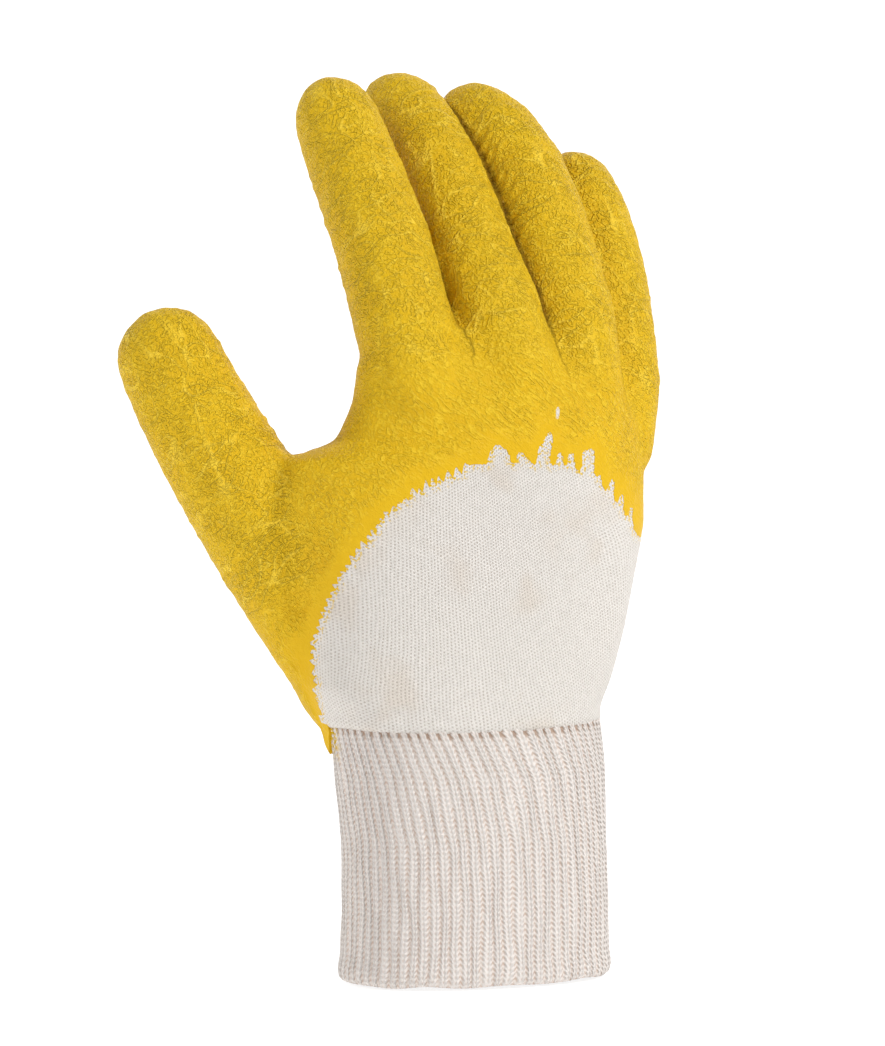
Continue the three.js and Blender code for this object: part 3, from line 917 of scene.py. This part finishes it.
def crinkle_height(points, weight, length, aside, which, calm, arc_height):
    """Height of the folds and lumps that show in the latex's outline, in millimetres."""
    names = list(CENTRELINES)
    curved = length + ARCS["bend"] * aside * aside
    seeds = which * 7.3
    arcs = np.array([
        noise.noise((a / ARCS["along"], s / ARCS["across"], k))
        for a, s, k in zip(curved, aside, seeds)])
    arcs = (1 - rise(np.abs(arcs), 0.0, ARCS["width"])) * weight
    patchy = rise(speckle(points, 16.0, 3.0), -0.35, 0.35)
    height = arcs * arc_height * (0.45 + 0.55 * patchy)
    for fold in FOLDS:
        on = (which == names.index(fold["digit"])) * weight
        flank = rise(aside * fold["flank"], 1.0, 8.5)
        ends = rise(length, fold["start"], fold["start"] + 14) * (
            1 - rise(length, fold["stop"] - 10, fold["stop"]))
        amount = on * flank * ends
        hit = amount > 0.01
        wobble = np.zeros(len(points))
        wobble[hit] = speckle(points[hit], 8.0, fold["pitch"]) * 4.5
        wave = np.cos(2 * np.pi * (curved + wobble) / fold["pitch"])
        height += fold["height"] * amount * (np.maximum(wave, -0.35) - 0.1) * 0.5
    lumps = sum(speckle(points, size, seed) * tall for size, seed, tall in LUMPS)
    height += lumps * (0.35 + 0.65 * weight)
    x, y, z = points.T
    lean, up = STREAKS["lean"]
    slant = np.stack([x * lean + z * up, y, z * lean - x * up], 1)
    slant *= np.array(STREAKS["stretch"])
    streak = 1 - rise(np.abs(speckle(slant, STREAKS["size"], 5.0)), 0.0, STREAKS["width"])
    height += streak * STREAKS["height"] * (1 - weight)
    return height * calm


def add_lip(piece, depth):
    """Turns the open edges inwards by the depth at each point, so that the wall shows its thickness."""
    with mesh_of(piece) as bm:
        bm.normal_update()
        rim = [e for e in bm.edges if e.is_boundary]
        inward = {v: -v.normal.copy() for e in rim for v in e.verts}
        made = bmesh.ops.extrude_edge_only(bm, edges=rim)
        fresh = [g for g in made["geom"] if isinstance(g, bmesh.types.BMVert)]
        old = {}
        for v in fresh:
            for e in v.link_edges:
                other = e.other_vert(v)
                if other in inward:
                    old[v] = other
        for v, other in old.items():
            v.co += inward[other] * depth(v.co)


def finish_piece(piece, slot, *nodes):
    """Shades the piece smooth and hands it to the frame."""
    if not piece.data.polygons:
        raise RuntimeError(piece.name + " came out empty")
    pick(piece)
    bpy.ops.object.shade_smooth_by_angle(angle=math.radians(50))
    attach(piece, "root")
    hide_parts(*nodes)


def take_form(detail):
    """The hand's form, made once and kept out of the scene."""
    mesh = bpy.data.meshes.get("hand_form")
    if mesh is None:
        form = hand_form(detail)
        mesh = form.data
        mesh.name = "hand_form"
        mesh.use_fake_user = True
        remove(form)
    made = bpy.data.objects.new("form", mesh.copy())
    bpy.context.scene.collection.objects.link(made)
    return made


class GloveCoating(bpy.types.Operator):
    """Latex over the fingers, thumb and palm, with the torn border of the bare window and a lining"""
    bl_idname = "glove.coating"
    bl_label = "Latex coating"

    def execute(self, context):
        sizes = context.scene.glove_sizes
        coat = take_form(sizes.detail)
        lining = duplicate(coat, "lining")
        border = window_border()
        below = [(74.0, 55.0), (-38.0, 55.0)]
        cut(coat, prism("window", np.concatenate([border, below])), "DIFFERENCE")
        cells, width, depth = (SKIRT[key] for key in ("cells", "width", "depth"))
        bpy.ops.mesh.primitive_grid_add(x_subdivisions=cells, y_subdivisions=cells, size=1)
        skirt = bpy.context.object
        spots = points_of(skirt) * MM
        top = LAP_EDGE + 0.5 * speckle(spots * width, 9.0) + 0.25 * speckle(spots * width, 2.5)
        top += LAP_CLIMB * (1 - rise(spots[:, 1] * depth, 2.0, 10.0))
        place(skirt, np.stack([spots[:, 0] * width, spots[:, 1] * depth, top], 1))
        edit(skirt, lambda: bpy.ops.mesh.extrude_region_move(
            TRANSFORM_OT_translate={"value": (0, 0, -SKIRT["drop"] * MM)}),
            lambda: bpy.ops.mesh.select_all(action="SELECT"),
            lambda: bpy.ops.mesh.normals_make_consistent(inside=False))
        cut(coat, skirt, "DIFFERENCE")
        biggest_part(coat)
        points = points_of(coat)
        weight, length, aside, which = along_digits(points)
        edge = border_distance(points, border)
        low = rise(points[:, 2], LAP_EDGE, LAP_EDGE + 8)
        calm = (0.15 + 0.85 * rise(edge, 0.5, 7.0)) * (0.3 + 0.7 * low)
        height = crinkle_height(points, weight, length, aside, which, calm, sizes.arc_height / MM)
        thin = BORDER_THIN * (1 - rise(edge, 0.5, 3.2))
        lap = LAP_EDGE + LAP_CLIMB * (1 - rise(points[:, 1], 2.0, 10.0))
        near_cuff = points[:, 2] < SEAM_HEIGHT + 3.0
        thin += LAP_THIN * (1 - rise(points[:, 2] - lap, 0.0, 4.5)) * near_cuff
        across = points @ WINDOW_ACROSS
        for dent in DENTS:
            away = np.hypot(across - dent["across"], points[:, 2] - dent["up"]) / dent["reach"]
            height -= dent["depth"] * np.exp(-away ** 2) * (points[:, 1] < 8) * rise(edge, 2.0, 5.5)
        place(coat, points + normals_of(coat) * (height - COAT_DEPTH - thin)[:, None])
        store(coat, "digit", weight)
        store(coat, "along", length + ARCS["bend"] * aside * aside + which * 137.0)
        store(coat, "side", aside)
        store(coat, "rough", calm)
        # Painted shade: where the crinkle sinks, the latex's colour is darkened.
        store(coat, "hollow_shade", rise(-height, 0.05, 0.35) * 0.5)
        # Painted shade: how deep each point lies in a groove between two fingers, for the latex's colour.
        store(coat, "groove_shade", groove_share(points))
        add_lip(coat, lambda point: sizes.latex_layer * (3.0 if point.z < 0.0745 else 1.0))
        colours = context.scene.glove_colours
        dress(coat, latex_material(colours), lining_material(colours))
        coat.data.polygons.foreach_set("material_index", np.zeros(len(coat.data.polygons), np.int32))

        outside = BVHTree.FromObject(lining, context.evaluated_depsgraph_get())
        inner = points_of(lining)
        deep = sizes.wall / MM + 0.1 + 0.5 * groove_share(inner)
        place(lining, inner - normals_of(lining) * deep[:, None])
        drop_shallow(lining, outside, LINING_CLEAR)
        biggest_part(lining)
        modify(lining, "DECIMATE", ratio=LINING_SHARE)
        edit(lining, lambda: bpy.ops.mesh.bisect(
            plane_co=(0, 0, (SEAM_HEIGHT + 0.4) * MM), plane_no=(0, 0, 1), clear_inner=True))
        edit(lining, lambda: bpy.ops.mesh.flip_normals())
        dress(lining, coat.data.materials[1])
        pick(coat)
        lining.select_set(True)
        bpy.ops.object.join()
        coat.name = "coated_hand"
        finish_piece(coat, "latex", "latex_coating")
        return {"FINISHED"}


def unrolled(points):
    """Millimetres round the back of the hand from its middle, as on an ellipse of the hand's size."""
    wide, deep = 47.0, 25.0
    turns = np.linspace(-2.4, 2.4, 481)
    steps = np.hypot(wide * np.cos(turns), deep * np.sin(turns)) * (turns[1] - turns[0])
    travelled = np.cumsum(steps)
    travelled -= np.interp(0.0, turns, travelled)
    turn = np.arctan2((points[:, 0] - 1.0) / wide, -points[:, 1] / deep)
    return np.interp(turn, turns, travelled) * (1 + (points[:, 2] - 100.0) * 0.0012)


class GloveJersey(bpy.types.Operator):
    """Bare cotton jersey on the back of the hand, from the torn latex down to the seam"""
    bl_idname = "glove.jersey"
    bl_label = "Jersey back"

    def execute(self, context):
        sizes = context.scene.glove_sizes
        patch = take_form(sizes.detail)
        whole = points_of(patch)
        place(patch, whole - normals_of(patch) * (sizes.latex_layer / MM + COAT_DEPTH))
        border = window_border()
        left = resample(BORDER_LEFT, 1.5)
        slope = np.gradient(left, axis=0)
        slope /= np.linalg.norm(slope, axis=1)[:, None]
        left += np.stack([-slope[:, 1], slope[:, 0]], 1) * 2.6
        under = np.concatenate([left[left[:, 1] > SEAM_HEIGHT - 0.6], JERSEY_TOP])
        edge_line = np.linspace(74.0, under[0, 0] + 0.2, 90)
        foot = np.stack([edge_line, seam_height(edge_line)], 1)
        outline = np.concatenate([under, foot])
        cut(patch, prism("bare", outline, 2.5 + 3.5 * rise(outline[:, 0], 0.0, 30.0)), "INTERSECT")
        biggest_part(patch)
        points = points_of(patch)
        across = points @ WINDOW_ACROSS
        above = points[:, 2] - seam_height(across)
        edge = border_distance(points, border)
        roll = 1.0 * (1 - rise(above, 0.0, 1.3)) - 0.25 * np.exp(-((above - 2.2) / 1.3) ** 2)
        ripple = speckle(points, 12.0, 2.0) * 0.22 + speckle(points, 4.0, 6.0) * 0.05
        ripple *= rise(edge, 1.5, 7.0)
        place(patch, points + normals_of(patch) * (ripple - roll)[:, None])
        store(patch, "across", unrolled(points))
        store(patch, "up", points[:, 2])
        store(patch, "edge", edge)
        add_lip(patch, lambda point: 0.9 * MM)
        dress(patch, jersey_material(context.scene.glove_colours))
        patch.name = "bare_jersey"
        finish_piece(patch, "jersey", "jersey_back")
        return {"FINISHED"}


def cuff_outline(height, share):
    """A point on the cuff's smooth outline: height in millimetres, share of the way round."""
    level = np.clip(height / CUFF["length"], 0, 1)
    wide, shift, deep = (np.interp(level, CUFF_SECTIONS[:, 0], CUFF_SECTIONS[:, k]) for k in (1, 2, 3))
    angle = 2 * np.pi * share

    def rounded(values):
        return np.sign(values) * np.abs(values) ** (2 / CUFF["roundness"])

    x = shift * CUFF["width"] + wide * CUFF["width"] / 2 * rounded(np.cos(angle))
    y = deep * CUFF["depth"] / 2 * rounded(np.sin(angle))
    return x, y


class GloveCuff(bpy.types.Operator):
    """Ribbed knit cuff with a folded hem, open for the wrist"""
    bl_idname = "glove.cuff"
    bl_label = "Ribbed cuff"

    def execute(self, context):
        sizes = context.scene.glove_sizes
        ribs = sizes.rib_count
        columns = ribs * RIB_COLUMNS
        # Rows of the wall: height above the hem as a share, depth into the wall as a share.
        outer = [(t, 0.0) for t in np.linspace(0.012, 0.994, CUFF_ROWS)]
        rows = [(1.0, 0.3), (1.0, 0.7)]
        rows += [(t, 1.0) for t in np.linspace(0.99, 0.015, CUFF_INNER_ROWS)]
        rows += [(0.006, 0.85), (0.0, 0.62), (0.0, 0.38), (0.004, 0.15)]
        profile = outer + rows
        bpy.ops.object.select_all(action="DESELECT")
        bpy.ops.mesh.primitive_grid_add(
            x_subdivisions=columns, y_subdivisions=len(profile), size=1, calc_uvs=True)
        cuff = bpy.context.object
        grid = points_of(cuff) * MM + 0.5
        column = np.rint(grid[:, 0] * columns).astype(int)
        row = np.rint(grid[:, 1] * len(profile)).astype(int) % len(profile)
        level = np.array([p[0] for p in profile])[row]
        depth = np.array([p[1] for p in profile])[row]
        turn = column / RIB_COLUMNS
        even = (turn % ribs) / ribs
        # Ribs are spaced half by angle and half by the distance round the cuff.
        fine = np.linspace(0, 1, 721)
        fx, fy = cuff_outline(np.full(721, 36.0), fine)
        travelled = np.concatenate([[0], np.cumsum(np.hypot(np.diff(fx), np.diff(fy)))])
        share = 0.4 * even + 0.6 * np.interp(even, travelled / travelled[-1], fine)
        rough_height = level * SEAM_HEIGHT
        drift = np.interp(level, CUFF_SECTIONS[:, 0], CUFF_SECTIONS[:, 4]) / ribs
        wander = np.array([
            noise.noise((math.cos(a) * 9, math.sin(a) * 9, h / 14.0))
            for a, h in zip(share * 2 * np.pi, rough_height)]) * 0.22 / ribs
        share = share + drift + wander
        x, y = cuff_outline(rough_height, share)
        bare = (y < 12.0) * 1.0
        seam = seam_height(x * math.cos(WINDOW_TURN) - y * math.sin(WINDOW_TURN))
        top = np.where(y < 2.0, seam, SEAM_HEIGHT) + CUFF_TUCK * bare
        wave = np.array([
            noise.noise((math.cos(a) * 2.2, math.sin(a) * 2.2, 4.0)) for a in share * 2 * np.pi])
        hem = 0.9 + 0.9 * wave
        height = hem + level * (top - hem)
        x, y = cuff_outline(height, share)
        away = np.abs((turn % 1.0) - 0.5)
        valley = rise(away, 0.2, 0.5) * 1.0 + (1 - rise(away, 0.0, 0.14)) * 0.22
        wall = sizes.cuff_wall / MM
        below = np.clip(HEM_ROUND - (height - hem), 0, HEM_ROUND) / HEM_ROUND
        fold = np.sqrt(np.clip(1 - below ** 2, 0, 1))
        puff = 0.35 * np.exp(-((height - hem - 3.5) / 2.5) ** 2)
        near_top = 1 - rise(top - height, 0.0, 2.5)
        lump = np.array([noise.noise((p * 0.35, q * 0.35, h * 0.1)) for p, q, h in zip(x, y, height)])
        inset = valley * (sizes.rib_depth / MM) * (1 - 0.3 * (depth > 0.5)) + depth * wall
        inset = inset + (1 - fold) * 0.9 * (1 - depth) - puff * (1 - depth) + near_top * 0.2 * (1 - depth)
        inset = inset - lump * 0.25
        x2, y2 = cuff_outline(height, share + 0.002)
        tangent = np.stack([x2 - x, y2 - y], 1)
        tangent /= np.linalg.norm(tangent, axis=1)[:, None]
        x = x - tangent[:, 1] * inset
        y = y + tangent[:, 0] * inset
        place(cuff, np.stack([x, y, height], 1))
        # How far below the seam each point lies, for the painted shadow under the jersey's edge.
        store(cuff, "seam", top - CUFF_TUCK - height)
        stain = (x < -30) * rise(height, 62.0, 70.0) * rise(y, -3.0, 2.0)
        store(cuff, "latex_stain", stain)
        uv = cuff.data.uv_layers.new(name="knit")
        loops = np.empty(len(cuff.data.loops), np.int32)
        cuff.data.loops.foreach_get("vertex_index", loops)
        spread = np.stack([turn, height], 1)[loops]
        uv.data.foreach_set("uv", spread.astype(np.float32).ravel())
        edit(cuff, lambda: bpy.ops.mesh.remove_doubles(threshold=1e-6),
             lambda: bpy.ops.mesh.normals_make_consistent(inside=False))
        dress(cuff, rib_material(context.scene.glove_colours))
        cuff.name = "knit_cuff"
        finish_piece(cuff, "rib_knit", "rib_cuff")
        return {"FINISHED"}


class GloveStage(bpy.types.Operator):
    """Pale floor and backdrop, soft light and the camera"""
    bl_idname = "glove.stage"
    bl_label = "Stage"

    def execute(self, context):
        bpy.ops.object.select_all(action="DESELECT")
        reach, bend, tall = 3.2, 1.0, 3.0
        profile = [(0.0, 0.0), (0.5, 0.0), (reach - bend, 0.0)]
        profile += [
            (reach - bend + bend * math.sin(a), bend - bend * math.cos(a))
            for a in np.linspace(0.15, math.pi / 2, 9)]
        profile.append((reach, tall))
        line = new_mesh("floor", [(x, 0, z) for x, z in profile], [])
        with mesh_of(line) as bm:
            bm.verts.ensure_lookup_table()
            for k in range(len(profile) - 1):
                bm.edges.new((bm.verts[k], bm.verts[k + 1]))
            bmesh.ops.spin(
                bm, geom=bm.verts[:] + bm.edges[:], cent=(0, 0, 0), axis=(0, 0, 1), dvec=(0, 0, 0),
                angle=2 * math.pi, steps=64)
            bmesh.ops.remove_doubles(bm, verts=bm.verts, dist=1e-5)
            bmesh.ops.recalc_face_normals(bm, faces=bm.faces)
            for face in bm.faces:
                if face.normal.z < -0.01:
                    face.normal_flip()
        pick(line)
        bpy.ops.object.shade_smooth()
        line.data.materials.append(floor_material(context.scene.glove_colours))

        target = Vector((0, 0, 0.130))
        for place_at, size, power in LIGHTS:
            bpy.ops.object.light_add(type="AREA", location=place_at)
            light = bpy.context.object
            light.data.shape = "DISK"
            light.data.size = size
            light.data.energy = power
            light.rotation_euler = (target - Vector(place_at)).to_track_quat("-Z", "Y").to_euler()
        world = bpy.data.worlds.new("studio")
        world.use_nodes = True
        world.node_tree.nodes["Background"].inputs["Color"].default_value = (1, 1, 1, 1)
        world.node_tree.nodes["Background"].inputs["Strength"].default_value = 0.2
        context.scene.world = world

        turn, tilt, distance, aside = math.radians(-25), math.radians(2), 1.4, 0.0093
        across = Vector((math.cos(turn), math.sin(turn), 0))
        back = Vector((math.sin(turn) * math.cos(tilt), -math.cos(turn) * math.cos(tilt), math.sin(tilt)))
        bpy.ops.object.camera_add(location=target + back * distance - across * aside)
        camera = bpy.context.object
        camera.rotation_euler = (-back).to_track_quat("-Z", "Y").to_euler()
        camera.data.sensor_fit = "VERTICAL"
        camera.data.sensor_height = 24.0
        camera.data.lens = camera.data.sensor_height / 2 * distance / (VIEW_HEIGHT / 2)
        camera.data.clip_start = 0.01
        context.scene.camera = camera
        context.scene.view_settings.view_transform = "Standard"
        return {"FINISHED"}


class GLOVE_PT_panel(bpy.types.Panel):
    bl_label = "Latex coated glove"
    bl_space_type = "VIEW_3D"
    bl_region_type = "UI"
    bl_category = "Glove"

    def draw(self, context):
        for group in (context.scene.glove_sizes, context.scene.glove_colours):
            box = self.layout.box()
            for name in group.__annotations__:
                box.prop(group, name)
        for operator in OPERATORS:
            self.layout.operator(operator.bl_idname)


OPERATORS = (GloveCoating, GloveJersey, GloveCuff, GloveStage)
CLASSES = (GloveSizes, GloveColours, *OPERATORS, GLOVE_PT_panel)


def register():
    for each in CLASSES:
        bpy.utils.register_class(each)
    bpy.types.Scene.glove_sizes = bpy.props.PointerProperty(type=GloveSizes)
    bpy.types.Scene.glove_colours = bpy.props.PointerProperty(type=GloveColours)


def unregister():
    del bpy.types.Scene.glove_colours
    del bpy.types.Scene.glove_sizes
    for each in reversed(CLASSES):
        bpy.utils.unregister_class(each)


def main():
    register()
    bpy.ops.glove.coating()
    bpy.ops.glove.jersey()
    bpy.ops.glove.cuff()
    bpy.ops.glove.stage()
    for leftover in ("kept", "cutter"):
        material = bpy.data.materials.get(leftover)
        if material:
            bpy.data.materials.remove(material)


if __name__ == "__main__":
    main()
